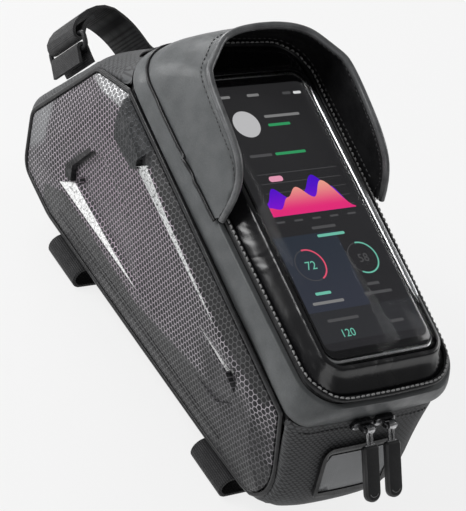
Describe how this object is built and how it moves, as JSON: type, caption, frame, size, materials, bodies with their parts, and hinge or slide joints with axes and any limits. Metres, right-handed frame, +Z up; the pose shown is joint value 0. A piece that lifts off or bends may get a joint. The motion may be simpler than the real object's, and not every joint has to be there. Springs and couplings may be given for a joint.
{
  "type": "top tube phone bag",
  "caption": "Bicycle top tube bag with moulded side shells, a zipped lid that holds a phone under a window and sun visor, and strap loops for the frame.",
  "frame": {"origin": "middle of the bag's flat underside, where it sits on the bicycle's top tube", "axes": "+Y towards the handlebar, +Z up away from the tube, +X to the rider's right"},
  "size_m": [0.1052, 0.3026, 0.1798],
  "materials": {
    "gusset_fabric": "matt woven, honeycomb print",
    "shell_moulding": "moulded foam board, glossy honeycomb weave",
    "lid_vinyl": "satin coated cloth",
    "piping_trim": "satin binding",
    "window_surround": "gloss",
    "clear_film": "clear film",
    "phone_frame": "satin",
    "phone_glass": "polished",
    "strap_webbing": "matt webbing",
    "ring_plastic": "satin",
    "zip_metal": "gloss black plated",
    "pull_rubber": "satin",
    "zip_tape": "matt",
    "pocket_lining": "matt",
    "badge_plate": "reflective"
  },
  "bodies": {
    "bag": {"side_shell_left": "shell_moulding", "side_shell_right": "shell_moulding", "piping_left": "piping_trim", "piping_right": "piping_trim", "gusset": "gusset_fabric", "zip_tape_body": "zip_tape", "badge_border": "piping_trim", "badge_plate": "badge_plate", "front_anchor": "strap_webbing", "front_ring": "ring_plastic", "front_strap": "strap_webbing", "strap_loop_front": "strap_webbing", "strap_loop_rear": "strap_webbing"},
    "lid": {"lid_wall": "lid_vinyl", "window_binding": "piping_trim", "window_surround": "window_surround", "window_film": "clear_film", "pocket_back": "pocket_lining", "phone_pad": "pocket_lining", "phone_frame": "phone_frame", "phone_glass": "phone_glass", "zip_tape_lid": "zip_tape", "visor": "lid_vinyl", "visor_hem": "piping_trim"},
    "slider_left": {"slider_left": "zip_metal"},
    "slider_right": {"slider_right": "zip_metal"},
    "pull_left": {"pull_link_left": "zip_metal", "pull_tab_left": "pull_rubber"},
    "pull_right": {"pull_link_right": "zip_metal", "pull_tab_right": "pull_rubber"}
  },
  "joints": [
    {"name": "lid_hinge", "type": "hinge", "parent": "bag", "child": "lid", "pos_m": [0, 0.08085, 0.12532], "axis": [-1, 0, 0], "range_deg": [0, 100]},
    {"name": "slider_left_slide", "type": "slide", "parent": "bag", "child": "slider_left", "axis": [1, 0, 0], "range_m": [-0.02, 0]},
    {"name": "slider_right_slide", "type": "slide", "parent": "bag", "child": "slider_right", "axis": [1, 0, 0], "range_m": [0, 0.02]},
    {"name": "pull_left_hinge", "type": "hinge", "parent": "slider_left", "child": "pull_left", "pos_m": [-0.007, -0.12372, 0.06341], "axis": [1, 0, 0], "range_deg": [-110, 13]},
    {"name": "pull_right_hinge", "type": "hinge", "parent": "slider_right", "child": "pull_right", "pos_m": [0.006, -0.12372, 0.06341], "axis": [1, 0, 0], "range_deg": [-110, 13]}
  ]
}
